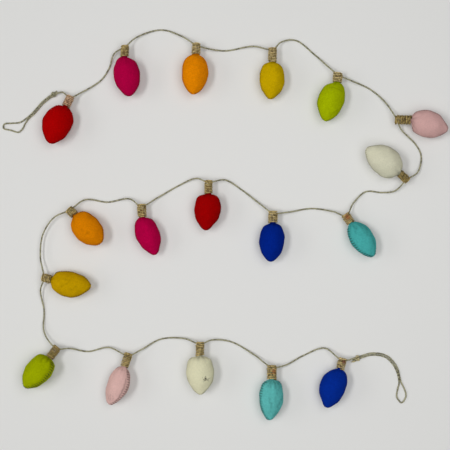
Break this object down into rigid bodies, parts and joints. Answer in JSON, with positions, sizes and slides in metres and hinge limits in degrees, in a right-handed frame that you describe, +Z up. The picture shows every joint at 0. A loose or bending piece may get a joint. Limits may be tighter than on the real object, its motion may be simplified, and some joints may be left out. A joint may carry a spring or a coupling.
{
  "type": "felt christmas light garland",
  "caption": "Garland of stuffed felt light bulbs, each bound at the neck with wound jute twine and strung on one jute twine with a knotted hanging loop at either end, laid out in an S.",
  "frame": {"origin": "on the table, under the middle of the footprint of the bulbs and their bindings, the twine left out", "axes": "+Z up from the table the garland lies on; +X along its rows, to the right seen from above with the starting loop at the upper left; +Y across the rows"},
  "size_m": [0.5525, 0.4857, 0.0323],
  "materials": {
    "felt_red": "wool-blend felt, matte with short fuzz",
    "felt_magenta": "wool-blend felt, matte with short fuzz",
    "felt_orange": "wool-blend felt, matte with short fuzz",
    "felt_yellow": "wool-blend felt, matte with short fuzz",
    "felt_lime": "wool-blend felt, matte with short fuzz",
    "felt_pink": "wool-blend felt, matte with short fuzz",
    "felt_cream": "wool-blend felt, matte with short fuzz",
    "felt_teal": "wool-blend felt, matte with short fuzz",
    "felt_blue": "wool-blend felt, matte with short fuzz",
    "jute_binding": "golden brown jute twine, tightly wound",
    "jute_twine": "natural jute twine, twisted and hairy"
  },
  "bodies": {
    "root": {"bulb_01": "felt_red", "bulb_02": "felt_magenta", "bulb_03": "felt_orange", "bulb_04": "felt_yellow", "bulb_05": "felt_lime", "bulb_06": "felt_pink", "bulb_07": "felt_cream", "bulb_08": "felt_teal", "bulb_09": "felt_blue", "bulb_10": "felt_red", "bulb_11": "felt_magenta", "bulb_12": "felt_orange", "bulb_13": "felt_yellow", "bulb_14": "felt_lime", "bulb_15": "felt_pink", "bulb_16": "felt_cream", "bulb_17": "felt_teal", "bulb_18": "felt_blue", "binding_01": "jute_binding", "binding_02": "jute_binding", "binding_03": "jute_binding", "binding_04": "jute_binding", "binding_05": "jute_binding", "binding_06": "jute_binding", "binding_07": "jute_binding", "binding_08": "jute_binding", "binding_09": "jute_binding", "binding_10": "jute_binding", "binding_11": "jute_binding", "binding_12": "jute_binding", "binding_13": "jute_binding", "binding_14": "jute_binding", "binding_15": "jute_binding", "binding_16": "jute_binding", "binding_17": "jute_binding", "binding_18": "jute_binding", "twine": "jute_twine", "knot_start": "jute_twine", "knot_end": "jute_twine"}
  },
  "joints": []
}
